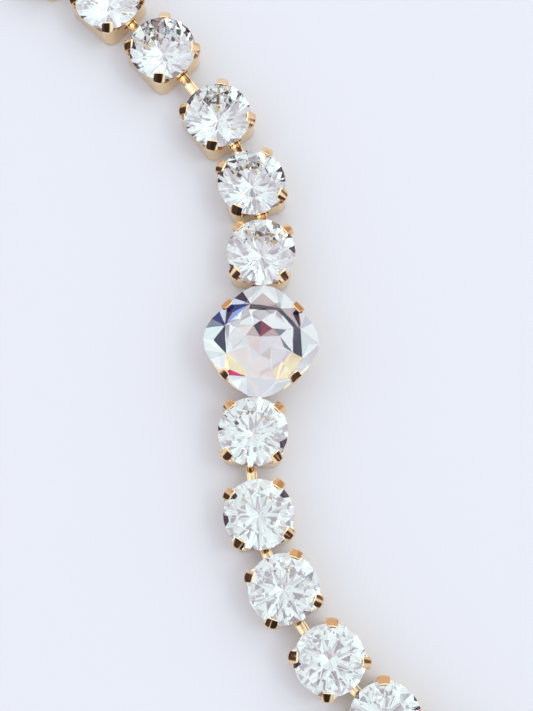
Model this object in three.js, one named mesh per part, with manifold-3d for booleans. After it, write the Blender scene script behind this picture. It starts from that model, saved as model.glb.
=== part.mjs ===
// Crystal bracelet: a strand of foiled round crystals in open-sided four-claw cups around one
// cushion-cut crystal, joined by flat strip links, with a jump ring and clasp at one end and a
// catch ring at the other. It lies unfastened on a flat surface, crystals up.
// Millimetres, +Z up. The origin is the middle of the centre cup's base, on the surface.

import * as THREE from 'three';
import { ConvexGeometry } from 'three/addons/geometries/ConvexGeometry.js';
import { mergeVertices } from 'three/addons/utils/BufferGeometryUtils.js';
import Module from 'manifold-3d';

const wasm = await Module();
wasm.setup();

const DEGREE = Math.PI / 180;

// Round crystal: heights are above the base of its cup
const ROUND = {
  radius: 4.15,
  tableRadius: 2.5,
  starRadius: 3.3,
  pavilionRadius: 0.95,
  culetZ: 0.5,
  girdleLowZ: 3.95,
  girdleHighZ: 4.15,
  tableZ: 5.2,
};

// Cushion crystal: a rounded square, measured square-on before it is turned by 45 degrees
const CUSHION = {
  half: 6.0,
  cornerRadius: 3.9,
  tableShare: 0.58,
  starShare: 0.8,
  pavilionShare: 0.4,
  culetZ: 0.5,
  girdleLowZ: 4.9,
  girdleHighZ: 5.2,
  starZ: 5.64,
  pavilionZ: 2.1,
  tableZ: 6.0,
};

// Cups: half widths of the outer wall, sheet thickness, and the dip of the rim between claws
const SHEET = 0.32;
const FLOOR = 0.3;
const CORNER_STEPS = 3;
const DIP_SIDES = 48;
const ROUND_CUP = {
  footHalf: 3.45,
  footCorner: 1.6,
  baseHalf: 3.84,
  baseCorner: 1.55,
  baseZ: 0.3,
  rimHalf: 3.85,
  rimCorner: 1.8,
  rimZ: 3.4,
  dipZ: 3.2,
  dipRadius: 12,
  clawAngle: 45,
  clawWidth: 1.4,
};
const CUSHION_CUP = {
  footHalf: 4.7,
  footCorner: 3.4,
  baseHalf: 5.1,
  baseCorner: 3.6,
  baseZ: 0.3,
  rimHalf: 6.1,
  rimCorner: 4.9,
  rimZ: 4.4,
  dipZ: 4.15,
  dipRadius: 14,
  clawAngle: 45,
  clawWidth: 1.35,
};

// A claw in its own upright plane: reach is the distance from the cup's axis
const ROUND_CLAW = [
  { reach: 4.34, z: 2.7 },
  { reach: 4.38, z: 3.53 },
  { reach: 4.6, z: 4.18 },
  { reach: 3.58, z: 4.93 },
  { reach: 3.6, z: 5.04 },
  { reach: 3.76, z: 5.17 },
  { reach: 4.82, z: 4.4 },
  { reach: 4.9, z: 4.2 },
  { reach: 4.7, z: 3.4 },
  { reach: 4.64, z: 2.7 },
];
const CUSHION_CLAW = [
  { reach: 5.78, z: 3.6 },
  { reach: 5.84, z: 4.54 },
  { reach: 6.24, z: 5.26 },
  { reach: 5.46, z: 5.75 },
  { reach: 5.48, z: 5.87 },
  { reach: 5.62, z: 6.0 },
  { reach: 6.48, z: 5.44 },
  { reach: 6.57, z: 5.24 },
  { reach: 6.1, z: 4.4 },
  { reach: 6.02, z: 3.6 },
];

// Strip link: a flat bar through the slots of two cups, its ends turned down inside them
const LINK = { length: 5.0, width: 1.4, thick: 0.3, lowZ: 1.75, hookDrop: 0.3 };
const SLOT = { width: 2.3, lowZ: 1.58, highZ: 2.24 };
const SLOT_REACH = { round: 3.75, cushion: 5.4 };

// End link's eye, measured from the axis of the last cup, and the two rings that lean on the
// surface. The clasp lies flat: its lengths and places are measured from the middle of its eye.
const EYE = { reach: 6.6, radius: 1.8, hole: 1.05, neckStart: 3.05, curveSteps: 12 };
const JUMP_RING = { radius: 2.1, wire: 0.42, lean: 60 };
const CATCH_RING = { radius: 2.6, wire: 0.45, lean: 50 };
const RING_SIDES = { around: 20, wire: 6 };
const CLASP = {
  thick: 2.4,
  bevel: 0.45,
  bodyAt: 7.4,
  bodyLength: 9.2,
  bodyWidth: 6.4,
  holeAt: 7.9,
  holeAside: -0.35,
  holeLength: 5.4,
  holeWidth: 2.7,
  eyeRadius: 1.9,
  eyeHole: 1.15,
  eyeThick: 0.6,
  eyeZ: 1.4,
  neckFrom: 1.6,
  neckTo: 3.7,
  neckWidth: 1.6,
  neckThick: 1.4,
  leverAt: 5.8,
  leverFrom: 1.9,
  leverTo: 3.9,
  leverWidth: 1.2,
  leverThick: 1.2,
};

// How the strand lies. Each row steps outward from the cup before it: pitch is the distance
// between the two cups' axes, way its direction, and turn the direction of the cup's own slots.
const LEFT_ARM = [
  { pitch: 11.3, way: 90, turn: 86 },
  { pitch: 9.0, way: 97.5, turn: 109 },
  { pitch: 9.7, way: 116, turn: 127 },
  { pitch: 11.3, way: 128, turn: 131.5 },
  { pitch: 9.7, way: 136, turn: 137 },
  { pitch: 10.1, way: 144, turn: 147 },
  { pitch: 9.7, way: 151, turn: 154 },
];
const RIGHT_ARM = [
  { pitch: 10.8, way: 265, turn: 267 },
  { pitch: 9.8, way: 274, turn: 281.5 },
  { pitch: 9.1, way: 288.5, turn: 295.5 },
  { pitch: 9.6, way: 303, turn: 311 },
  { pitch: 9.0, way: 314, turn: 317 },
  { pitch: 9.6, way: 319, turn: 321 },
  { pitch: 9.6, way: 322, turn: 323 },
];
const CENTRE_TURN = 87.5;

// Each round crystal sits a little further round in its cup than the one before it, in degrees
const CRYSTAL_STEP = 17;

// ---- materials

const gold = () => new THREE.MeshStandardMaterial({ color: 0xd9a35c, roughness: 0.18, metalness: 1 });
const crystal = () => new THREE.MeshStandardMaterial({ color: 0xeef6f4, roughness: 0.03, metalness: 0.1 });

// ---- joining and cutting

// A closed three.js geometry as a solid
function solidOf(geometry) {
  geometry.deleteAttribute('normal');
  geometry.deleteAttribute('uv');
  const merged = mergeVertices(geometry, 1e-4);
  return new wasm.Manifold(new wasm.Mesh({
    numProp: 3,
    vertProperties: new Float32Array(merged.attributes.position.array),
    triVerts: new Uint32Array(merged.index.array),
  }));
}

// A solid as a three.js geometry
function geometryOf(solid) {
  const mesh = solid.getMesh();
  const geometry = new THREE.BufferGeometry();
  geometry.setAttribute('position', new THREE.BufferAttribute(new Float32Array(mesh.vertProperties), 3));
  geometry.setIndex(new THREE.BufferAttribute(new Uint32Array(mesh.triVerts), 1));
  geometry.computeVertexNormals();
  return geometry;
}

// ---- outlines

// A ring of count points at one height
function circleRing(radius, z, count, startAngle = 0) {
  const points = [];
  for (let i = 0; i < count; i += 1) {
    const angle = startAngle + (i / count) * 2 * Math.PI;
    points.push(new THREE.Vector3(radius * Math.cos(angle), radius * Math.sin(angle), z));
  }
  return points;
}

// A rounded square at one height, its flats square to the axes, each corner an arc of steps parts
function squareRing(half, cornerRadius, z, steps) {
  const points = [];
  for (let corner = 0; corner < 4; corner += 1) {
    const middle = (45 + corner * 90) * DEGREE;
    const out = (half - cornerRadius) * Math.SQRT2;
    for (let i = 0; i <= steps; i += 1) {
      const angle = middle + (i / steps - 0.5) * Math.PI / 2;
      points.push(new THREE.Vector3(
        out * Math.cos(middle) + cornerRadius * Math.cos(angle),
        out * Math.sin(middle) + cornerRadius * Math.sin(angle),
        z,
      ));
    }
  }
  return points;
}

// ---- crystals

// Round brilliant: eight-sided table, star, kite and girdle facets above, eight mains below
function roundCrystal() {
  const eighth = Math.PI / 8;
  const crownSlope = (ROUND.tableZ - ROUND.girdleHighZ) / (ROUND.radius - ROUND.tableRadius);
  const starZ = ROUND.tableZ - (ROUND.starRadius * Math.cos(eighth) - ROUND.tableRadius) * crownSlope;
  const pavilionSlope = (ROUND.girdleLowZ - ROUND.culetZ) / ROUND.radius;
  const pavilionZ = ROUND.culetZ + ROUND.pavilionRadius * Math.cos(eighth) * pavilionSlope;
  return new ConvexGeometry([
    ...circleRing(ROUND.tableRadius, ROUND.tableZ, 8),
    ...circleRing(ROUND.starRadius, starZ, 8, eighth),
    ...circleRing(ROUND.radius, ROUND.girdleHighZ, 16),
    ...circleRing(ROUND.radius, ROUND.girdleLowZ, 16),
    ...circleRing(ROUND.pavilionRadius, pavilionZ, 8, eighth),
    new THREE.Vector3(0, 0, ROUND.culetZ),
  ]);
}

// Cushion cut: the same order of facets on a rounded square
function cushionCrystal() {
  const ring = (share, z, steps) => squareRing(CUSHION.half * share, CUSHION.cornerRadius * share, z, steps);
  return new ConvexGeometry([
    ...ring(CUSHION.tableShare, CUSHION.tableZ, 1),
    ...ring(CUSHION.starShare, CUSHION.starZ, 2),
    ...ring(1, CUSHION.girdleHighZ, 5),
    ...ring(1, CUSHION.girdleLowZ, 5),
    ...ring(CUSHION.pavilionShare, CUSHION.pavilionZ, 2),
    new THREE.Vector3(0, 0, CUSHION.culetZ),
  ]);
}

// ---- cups

// One claw, its profile run out square to the plane it bends in
function claw(profile, width, angle) {
  const shape = new THREE.Shape(profile.map((row) => new THREE.Vector2(row.reach, row.z)));
  const geometry = new THREE.ExtrudeGeometry(shape, { depth: width, bevelEnabled: false, steps: 1 });
  geometry.translate(0, 0, -width / 2);
  geometry.rotateX(Math.PI / 2);
  geometry.rotateZ(angle * DEGREE);
  return solidOf(geometry);
}

// A cup: a tapering wall on a flat floor, its rim dipped between the claws, a slot at each end.
// squareTurn turns the wall's outline, whose corners carry the claws of a round cup.
function cup(size, profile, squareTurn) {
  const ring = (half, corner, z) => squareRing(half, corner, z, CORNER_STEPS);
  const through = 4 * size.rimHalf;
  const outer = new ConvexGeometry([
    ...ring(size.footHalf, size.footCorner, 0),
    ...ring(size.baseHalf, size.baseCorner, size.baseZ),
    ...ring(size.rimHalf, size.rimCorner, size.rimZ),
  ]);
  const inner = new ConvexGeometry([
    ...ring(size.baseHalf - SHEET, size.baseCorner - SHEET, FLOOR),
    ...ring(size.rimHalf - SHEET, size.rimCorner - SHEET, size.rimZ),
    ...ring(size.rimHalf - SHEET, size.rimCorner - SHEET, size.rimZ + SHEET),
  ]);
  outer.rotateZ(squareTurn * DEGREE);
  inner.rotateZ(squareTurn * DEGREE);
  let solid = solidOf(outer).subtract(solidOf(inner));
  for (const turn of [0, 90]) {
    const dip = new THREE.CylinderGeometry(size.dipRadius, size.dipRadius, through, DIP_SIDES);
    dip.rotateZ(Math.PI / 2);
    dip.translate(0, 0, size.dipZ + size.dipRadius);
    dip.rotateZ(turn * DEGREE);
    solid = solid.subtract(solidOf(dip));
  }
  const slot = new THREE.BoxGeometry(through, SLOT.width, SLOT.highZ - SLOT.lowZ);
  slot.translate(0, 0, (SLOT.highZ + SLOT.lowZ) / 2);
  solid = solid.subtract(solidOf(slot));
  for (let i = 0; i < 4; i += 1) {
    solid = solid.add(claw(profile, size.clawWidth, size.clawAngle + i * 90));
  }
  return geometryOf(solid);
}

// ---- links and fittings

// Strip link along X: the bar and its two turned-down ends
function stripLink() {
  const end = LINK.length / 2;
  const inside = end - LINK.thick;
  const top = LINK.lowZ + LINK.thick;
  const bottom = LINK.lowZ - LINK.hookDrop;
  const shape = new THREE.Shape([
    new THREE.Vector2(-end, bottom),
    new THREE.Vector2(-inside, bottom),
    new THREE.Vector2(-inside, LINK.lowZ),
    new THREE.Vector2(inside, LINK.lowZ),
    new THREE.Vector2(inside, bottom),
    new THREE.Vector2(end, bottom),
    new THREE.Vector2(end, top),
    new THREE.Vector2(-end, top),
  ]);
  const geometry = new THREE.ExtrudeGeometry(shape, { depth: LINK.width, bevelEnabled: false, steps: 1 });
  geometry.translate(0, 0, -LINK.width / 2);
  geometry.rotateX(Math.PI / 2);
  return geometry;
}

// End link along X from the last cup's axis: hook inside the cup, bar, and a flat round eye
function endLink() {
  const halfWidth = LINK.width / 2;
  const meet = Math.asin(halfWidth / EYE.radius);
  const shape = new THREE.Shape();
  shape.moveTo(EYE.neckStart, -halfWidth);
  shape.absarc(EYE.reach, 0, EYE.radius, -Math.PI + meet, Math.PI - meet, false);
  shape.lineTo(EYE.neckStart, halfWidth);
  const hole = new THREE.Path();
  hole.absarc(EYE.reach, 0, EYE.hole, 0, 2 * Math.PI, true);
  shape.holes.push(hole);
  const plate = new THREE.ExtrudeGeometry(shape, {
    depth: LINK.thick, bevelEnabled: false, steps: 1, curveSegments: EYE.curveSteps,
  });
  plate.translate(0, 0, LINK.lowZ);
  const hook = new THREE.BoxGeometry(LINK.thick, LINK.width, LINK.hookDrop + LINK.thick);
  hook.translate(EYE.neckStart + LINK.thick / 2, 0, LINK.lowZ + (LINK.thick - LINK.hookDrop) / 2);
  return geometryOf(solidOf(plate).add(solidOf(hook)));
}

// Ring that leans on the surface: it turns about the strand's own direction, its centre at X = 0
function leaningRing(size) {
  const geometry = new THREE.TorusGeometry(size.radius, size.wire, RING_SIDES.wire, RING_SIDES.around);
  geometry.rotateX(size.lean * DEGREE);
  geometry.translate(0, 0, leanHeight(size));
  return geometry;
}

// Height of a leaning ring's centre when its lowest point touches the surface
function leanHeight(size) {
  return size.radius * Math.sin(size.lean * DEGREE) + size.wire;
}

// Where a leaning ring's wire passes a height, from the ring's centre: along the strand, and aside
function wireAt(size, z) {
  const rise = (z - leanHeight(size)) / (size.radius * Math.sin(size.lean * DEGREE));
  return {
    along: size.radius * Math.sqrt(1 - rise * rise),
    aside: size.radius * rise * Math.cos(size.lean * DEGREE),
  };
}

// Clasp lying flat: body with its hooking hole, eye, neck and lever
function clasp() {
  const inset = CLASP.bevel;
  const body = new THREE.Shape();
  const bodyHalf = { x: CLASP.bodyLength / 2 - inset, y: CLASP.bodyWidth / 2 - inset };
  body.absellipse(CLASP.bodyAt, 0, bodyHalf.x, bodyHalf.y, 0, 2 * Math.PI);
  const hole = new THREE.Path();
  const holeHalf = { x: CLASP.holeLength / 2 + inset, y: CLASP.holeWidth / 2 + inset };
  hole.absellipse(CLASP.holeAt, CLASP.holeAside, holeHalf.x, holeHalf.y, 0, 2 * Math.PI, true);
  body.holes.push(hole);
  const hook = new THREE.ExtrudeGeometry(body, {
    depth: CLASP.thick - 2 * inset,
    bevelThickness: inset,
    bevelSize: inset,
    bevelSegments: 2,
    steps: 1,
    curveSegments: 8,
  });
  hook.translate(0, 0, inset);

  const eye = new THREE.Shape();
  eye.absarc(0, 0, CLASP.eyeRadius, 0, 2 * Math.PI);
  const eyeHole = new THREE.Path();
  eyeHole.absarc(0, 0, CLASP.eyeHole, 0, 2 * Math.PI, true);
  eye.holes.push(eyeHole);
  const loop = new THREE.ExtrudeGeometry(eye, {
    depth: CLASP.eyeThick, bevelEnabled: false, steps: 1, curveSegments: 10,
  });
  loop.translate(0, 0, CLASP.eyeZ - CLASP.eyeThick / 2);

  const neck = new THREE.BoxGeometry(CLASP.neckTo - CLASP.neckFrom, CLASP.neckWidth, CLASP.neckThick);
  neck.translate((CLASP.neckFrom + CLASP.neckTo) / 2, 0, CLASP.thick / 2);
  const lever = new THREE.BoxGeometry(
    CLASP.leverWidth, CLASP.leverTo - CLASP.leverFrom, CLASP.leverThick,
  );
  lever.translate(CLASP.leverAt, (CLASP.leverFrom + CLASP.leverTo) / 2, CLASP.thick / 2);
  return geometryOf(solidOf(hook).add(solidOf(loop)).add(solidOf(neck)).add(solidOf(lever)));
}

// ---- assembly

const bracelet = new THREE.Group();
bracelet.name = 'crystal_bracelet';

// A place on the surface: a group at (x, y) turned about Z
function place(point, turn) {
  const group = new THREE.Group();
  group.position.set(point.x, point.y, 0);
  group.rotation.z = turn * DEGREE;
  bracelet.add(group);
  return group;
}

function addMesh(parent, name, geometry, material) {
  const mesh = new THREE.Mesh(geometry, material);
  mesh.name = name;
  parent.add(mesh);
  return mesh;
}

// The point at a distance and direction from another
function step(from, distance, way) {
  const angle = way * DEGREE;
  return { x: from.x + distance * Math.cos(angle), y: from.y + distance * Math.sin(angle) };
}

const origin = { x: 0, y: 0 };
const centre = place(origin, CENTRE_TURN);
addMesh(centre, 'setting_centre', cup(CUSHION_CUP, CUSHION_CLAW, 45), gold());
addMesh(centre, 'crystal_centre', cushionCrystal(), crystal()).rotation.z = 45 * DEGREE;

// One arm of the strand, from the centre cup outward; returns where its last cup lies
function arm(side, rows, centreTurn) {
  let from = { point: origin, turn: centreTurn, reach: SLOT_REACH.cushion };
  rows.forEach((row, index) => {
    const number = index + 1;
    const point = step(from.point, row.pitch, row.way);
    const group = place(point, row.turn);
    addMesh(group, `setting_${side}_${number}`, cup(ROUND_CUP, ROUND_CLAW, 0), gold());
    const stone = addMesh(group, `crystal_${side}_${number}`, roundCrystal(), crystal());
    stone.rotation.z = number * CRYSTAL_STEP * DEGREE;

    const leave = step(from.point, from.reach, from.turn);
    const arrive = step(point, SLOT_REACH.round, row.turn + 180);
    const middle = { x: (leave.x + arrive.x) / 2, y: (leave.y + arrive.y) / 2 };
    addMesh(place(middle, row.way), `link_${side}_${number}`, stripLink(), gold());
    from = { point, turn: row.turn, reach: SLOT_REACH.round };
  });
  addMesh(place(from.point, from.turn), `end_link_${side}`, endLink(), gold());
  return from;
}

// A ring hung in the eye of an arm's end link; returns the place of its centre
function hangRing(name, end, size) {
  const wire = wireAt(size, LINK.lowZ + LINK.thick / 2);
  const along = step(end.point, EYE.reach + wire.along, end.turn);
  const point = step(along, -wire.aside, end.turn + 90);
  addMesh(place(point, end.turn), name, leaningRing(size), gold());
  return point;
}

const leftEnd = arm('left', LEFT_ARM, CENTRE_TURN);
const jumpRingAt = hangRing('jump_ring', leftEnd, JUMP_RING);
const claspWire = wireAt(JUMP_RING, CLASP.eyeZ);
const claspAlong = step(jumpRingAt, claspWire.along, leftEnd.turn);
const claspAt = step(claspAlong, claspWire.aside, leftEnd.turn + 90);
addMesh(place(claspAt, leftEnd.turn), 'clasp', clasp(), gold());

const rightEnd = arm('right', RIGHT_ARM, CENTRE_TURN + 180);
hangRing('catch_ring', rightEnd, CATCH_RING);

export default bracelet;
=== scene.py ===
import math
import bmesh
import bpy
import numpy as np
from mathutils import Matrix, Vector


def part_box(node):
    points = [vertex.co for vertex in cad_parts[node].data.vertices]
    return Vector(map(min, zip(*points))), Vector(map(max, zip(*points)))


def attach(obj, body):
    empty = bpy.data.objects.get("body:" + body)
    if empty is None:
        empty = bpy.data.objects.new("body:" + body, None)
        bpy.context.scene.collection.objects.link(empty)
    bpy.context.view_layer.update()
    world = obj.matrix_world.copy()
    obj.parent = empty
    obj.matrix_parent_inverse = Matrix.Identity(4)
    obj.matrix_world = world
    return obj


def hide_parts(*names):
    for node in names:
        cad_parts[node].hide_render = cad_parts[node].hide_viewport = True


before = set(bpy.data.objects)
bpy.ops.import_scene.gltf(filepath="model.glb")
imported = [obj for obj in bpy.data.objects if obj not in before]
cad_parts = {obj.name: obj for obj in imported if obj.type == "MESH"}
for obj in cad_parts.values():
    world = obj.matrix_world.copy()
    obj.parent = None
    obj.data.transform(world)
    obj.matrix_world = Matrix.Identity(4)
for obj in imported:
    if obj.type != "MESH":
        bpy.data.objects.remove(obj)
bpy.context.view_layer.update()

mm = 0.001


# ---- camera

cameraSetup = {
    "target": (0.65, -1.75, 5.0),  # mm, the point in the middle of the view
    "distance": 185.0,             # mm
    "tilt": 13.0,                  # degrees off the vertical, towards the near side
    "lens": 78.96,
    "sensor": 36.0,
}


def makeCamera(setup):
    data = bpy.data.cameras.new("viewCamera")
    data.lens = setup["lens"]
    data.sensor_width = setup["sensor"]
    data.clip_start = 0.01
    data.clip_end = 20.0
    camera = bpy.data.objects.new("viewCamera", data)
    tilt = math.radians(setup["tilt"])
    x, y, z = setup["target"]
    camera.location = (x * mm, (y - setup["distance"] * math.sin(tilt)) * mm,
                       (z + setup["distance"] * math.cos(tilt)) * mm)
    camera.rotation_euler = (tilt, 0.0, 0.0)
    bpy.context.scene.collection.objects.link(camera)
    bpy.context.scene.camera = camera


makeCamera(cameraSetup)
print("camera placed")


# ---- shader helper

# A socket with arithmetic: an expression on values adds its Math nodes, and make adds any other
class Flow:
    def __init__(self, tree, socket=None):
        self.tree = tree
        self.socket = socket

    def make(self, kind, settings=None, inputs=None, output=0):
        node = self.tree.nodes.new(kind)
        for name, value in (settings or {}).items():
            if name == "stops":
                ramp = node.color_ramp
                while len(ramp.elements) > 1:
                    ramp.elements.remove(ramp.elements[-1])
                ramp.elements[0].position, ramp.elements[0].color = value[0]
                for position, colour in value[1:]:
                    ramp.elements.new(position).color = colour
            else:
                setattr(node, name, value)
        for name, value in (inputs or {}).items():
            if isinstance(value, Flow):
                self.tree.links.new(value.socket, node.inputs[name])
            else:
                node.inputs[name].default_value = value
        return Flow(self.tree, node.outputs[output]) if len(node.outputs) else node

    def math(self, operation, first, second):
        return self.make("ShaderNodeMath", {"operation": operation}, {0: first, 1: second})

    def __add__(self, other):
        return self.math("ADD", self, other)

    def __radd__(self, other):
        return self.math("ADD", other, self)

    def __sub__(self, other):
        return self.math("SUBTRACT", self, other)

    def __rsub__(self, other):
        return self.math("SUBTRACT", other, self)

    def __mul__(self, other):
        return self.math("MULTIPLY", self, other)

    def __rmul__(self, other):
        return self.math("MULTIPLY", other, self)

    def __gt__(self, other):
        return self.math("GREATER_THAN", self, other)

    def __lt__(self, other):
        return self.math("LESS_THAN", self, other)


# ---- studio

# The dome's colour by the sine of the height, from the horizon (0) to overhead (1), then pools of
# light and shade on it, each laid over the ones before. A pool is (compass way, height, half angle,
# soft edge, colour), with angles in degrees and ways anticlockwise from +X.
studio = {
    "strength": 1.19,
    "backdrop": (0.83, 0.86, 0.94),
    "dome": [
        (0.00, (0.60, 0.54, 0.57)),
        (0.26, (0.71, 0.68, 0.75)),
        (0.50, (0.88, 0.91, 0.99)),
        (0.71, (0.91, 0.97, 1.01)),
        (0.87, (0.92, 1.00, 0.99)),
        (1.00, (0.86, 0.91, 0.91)),
    ],
    "lights": [
        (-5, 58, 14, 14, (1.02, 1.14, 1.14)),     # key, with its bright middle
        (-5, 58, 5, 4, (5.0, 5.1, 5.0)),
        (40, 42, 9, 8, (1.35, 1.45, 1.42)),       # fill
        (90, 10, 20, 14, (0.60, 0.46, 0.40)),     # warm patches near the horizon
        (52, 10, 8, 8, (0.46, 0.28, 0.18)),
        (123, 17, 8, 8, (0.52, 0.34, 0.27)),
        (-108, 54, 17, 9, (0.74, 0.70, 0.74)),    # greyer stretch on the near side
    ],
    # seen only in reflections straight off the gold: a bright card, and dark ones with a warm patch
    "metalCards": [
        (88, 58, 14, 8, (2.2, 2.25, 2.1)),
        (-36, 22, 15, 5, (0.05, 0.025, 0.03)),
        (-38, 23, 2, 3, (0.50, 0.30, 0.24)),
        (158, 6, 13, 5, (0.05, 0.03, 0.04)),
        (178, 15, 8, 5, (0.05, 0.03, 0.03)),
        (3, 14, 6, 5, (0.12, 0.08, 0.05)),
        (-135, 25, 15, 6, (0.05, 0.03, 0.035)),
        (-98, 37, 16, 4, (0.016, 0.01, 0.014)),
        (-96, 22, 14, 4, (0.016, 0.01, 0.014)),
    ],
    # small mauve patches high up, which the facets pick up one by one
    "patches": [
        (-90, 77, 3, 3, (0.56, 0.50, 0.56)),
        (-60, 73, 3, 3, (0.54, 0.48, 0.54)),
        (180, 81, 3, 3, (0.42, 0.36, 0.42)),
        (120, 86, 2, 3, (0.40, 0.35, 0.40)),
        (50, 80, 2, 3, (0.48, 0.43, 0.48)),
        (-118, 64, 4, 4, (0.56, 0.50, 0.55)),
        (-58, 62, 4, 3, (0.56, 0.49, 0.54)),
        (172, 60, 4, 3, (0.60, 0.54, 0.60)),
        (100, 70, 4, 3, (0.76, 0.73, 0.76)),
        (128, 54, 4, 4, (0.60, 0.54, 0.60)),
        (15, 79, 2, 2, (0.40, 0.36, 0.42)),
    ],
}

floorLook = {
    "size": 6.0,        # metres
    "colour": (0.78, 0.79, 0.85),
    "mottle": 0.01,
    "mottleScale": 14.0,
    "roughness": 0.55,
    "specular": 0.25,
}


# How far a direction lies in a pool: 1 within its half angle, falling smoothly to 0 over its edge
def poolShare(flow, way, compass, height, half, edge):
    turn, rise = math.radians(compass), math.radians(height)
    axis = (math.cos(rise) * math.cos(turn), math.cos(rise) * math.sin(turn), math.sin(rise))
    facing = flow.make("ShaderNodeVectorMath", {"operation": "DOT_PRODUCT"}, {0: way, 1: axis}, "Value")
    outer, inner = math.cos(math.radians(half + edge)), math.cos(math.radians(half))
    return flow.make("ShaderNodeMapRange", {"interpolation_type": "SMOOTHSTEP"},
                     {"Value": facing, "From Min": outer, "From Max": inner})


# A share of one colour over another; a Mix node's colours are its inputs 6 and 7 and its output 2
def mixColours(flow, share, under, over, blend="MIX"):
    return flow.make("ShaderNodeMix", {"data_type": "RGBA", "blend_type": blend},
                     {0: share, 6: colourOf(under), 7: colourOf(over)}, 2)


def colourOf(value):
    return value if isinstance(value, Flow) else (*value, 1.0)


def makeWorld(setup):
    world = bpy.data.worlds.new("softStudio")
    world.use_nodes = True
    bpy.context.scene.world = world
    tree = world.node_tree
    tree.nodes.clear()
    flow = Flow(tree)
    way = flow.make("ShaderNodeTexCoord", {}, {}, "Generated")
    height = flow.make("ShaderNodeSeparateXYZ", {}, {0: way}, "Z")
    stops = [(at, (*tone, 1.0)) for at, tone in setup["dome"]]
    colour = flow.make("ShaderNodeValToRGB", {"stops": stops}, {"Fac": height}, "Color")
    glassDepth = flow.make("ShaderNodeLightPath", {}, {}, "Transmission Depth")
    reflected = flow.make("ShaderNodeLightPath", {}, {}, "Is Glossy Ray")
    offMetal = reflected * (glassDepth < 0.5)
    for *place, tone in setup["lights"]:
        colour = mixColours(flow, poolShare(flow, way, *place), colour, tone)
    for *place, tone in setup["metalCards"]:
        colour = mixColours(flow, poolShare(flow, way, *place) * offMetal, colour, tone)
    for *place, tone in setup["patches"]:
        colour = mixColours(flow, poolShare(flow, way, *place), colour, tone)
    # the backdrop behind the table is plain; only the light on the piece has the pools
    straight = flow.make("ShaderNodeLightPath", {}, {}, "Is Camera Ray")
    colour = mixColours(flow, straight, colour, setup["backdrop"])
    light = flow.make("ShaderNodeBackground", {}, {"Color": colour, "Strength": setup["strength"]})
    flow.make("ShaderNodeOutputWorld", {}, {"Surface": light})


def newMaterial(name):
    material = bpy.data.materials.new(name)
    material.use_nodes = True
    material.node_tree.nodes.clear()
    return material, Flow(material.node_tree)


def finishMaterial(flow, inputs):
    surface = flow.make("ShaderNodeBsdfPrincipled", {}, inputs)
    flow.make("ShaderNodeOutputMaterial", {}, {"Surface": surface})


def noise(flow, scale, detail):
    place = flow.make("ShaderNodeTexCoord", {}, {}, "Object")
    inputs = {"Vector": place, "Scale": scale, "Detail": detail}
    return flow.make("ShaderNodeTexNoise", {}, inputs, "Fac")


def makeFloor(look):
    material, flow = newMaterial("paleTable")
    mottle = noise(flow, look["mottleScale"], 3.0)
    colour = flow.make("ShaderNodeVectorMath", {"operation": "SCALE"},
                       {0: look["colour"], "Scale": 1 - look["mottle"] * mottle})
    finishMaterial(flow, {"Base Color": colour, "Roughness": look["roughness"],
                          "Specular IOR Level": look["specular"]})
    half = look["size"] / 2
    mesh = bpy.data.meshes.new("table")
    mesh.from_pydata([(-half, -half, 0), (half, -half, 0), (half, half, 0), (-half, half, 0)], [],
                     [(0, 1, 2, 3)])
    mesh.materials.append(material)
    table = bpy.data.objects.new("table", mesh)
    bpy.context.scene.collection.objects.link(table)


makeWorld(studio)
makeFloor(floorLook)
print("studio made")


# ---- materials

# Waves, grain, drift and clouds are the scales of noise, in patterns to the metre
goldLook = {
    "pale": (0.95, 0.77, 0.51),
    "deep": (0.90, 0.65, 0.38),
    "waves": 260.0,
    "grain": 1900.0,
    "roughness": 0.09,
    "roughSpread": 0.10,
    "ripple": 0.2,
    "rippleDepth": 0.0002,   # metres
}

glassLook = {
    "mint": (0.95, 1.0, 0.985),
    "lilac": (0.97, 0.975, 0.985),
    "drift": 90.0,
    "ior": 1.56,
}

cushionGlassLook = {
    "mint": (0.99, 1.0, 1.0),
    "lilac": (1.0, 0.995, 1.0),
    "drift": 90.0,
    "ior": 1.5,
}

# A facet's tone shows where its reach, the tone's fourth value, is past tintFrom
foilLook = {
    "silver": (0.94, 0.965, 0.95),
    "bloom": (0.88, 0.88, 0.89),
    "clouds": 700.0,
    "roughness": 0.018,
    "roughSpread": 0.03,
    "tintFrom": 0.62,
}

# foil for the cushion, whose facet tones are painted reflections and painted fire
reflectionPaintedLook = {
    "silver": (0.93, 0.90, 0.92),
    "bloom": (0.88, 0.86, 0.88),
    "clouds": 700.0,
    "roughness": 0.05,
    "roughSpread": 0.04,
    "tintFrom": 0.5,
}


def makeGold(name, look):
    material, flow = newMaterial(name)
    wide = noise(flow, look["waves"], 2.0)
    fine = noise(flow, look["grain"], 3.0)
    colour = mixColours(flow, wide, look["deep"], look["pale"])
    roughness = look["roughness"] + look["roughSpread"] * fine * wide
    bump = flow.make("ShaderNodeBump", {}, {
        "Strength": look["ripple"], "Distance": look["rippleDepth"], "Height": wide})
    finishMaterial(flow, {"Base Color": colour, "Metallic": 1.0, "Roughness": roughness,
                          "Normal": bump})
    return material


def makeGlass(name, look):
    material, flow = newMaterial(name)
    drift = noise(flow, look["drift"], 1.0)
    colour = mixColours(flow, drift, look["mint"], look["lilac"])
    finishMaterial(flow, {"Base Color": colour, "Roughness": 0.0, "IOR": look["ior"],
                          "Transmission Weight": 1.0})
    return material


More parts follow.
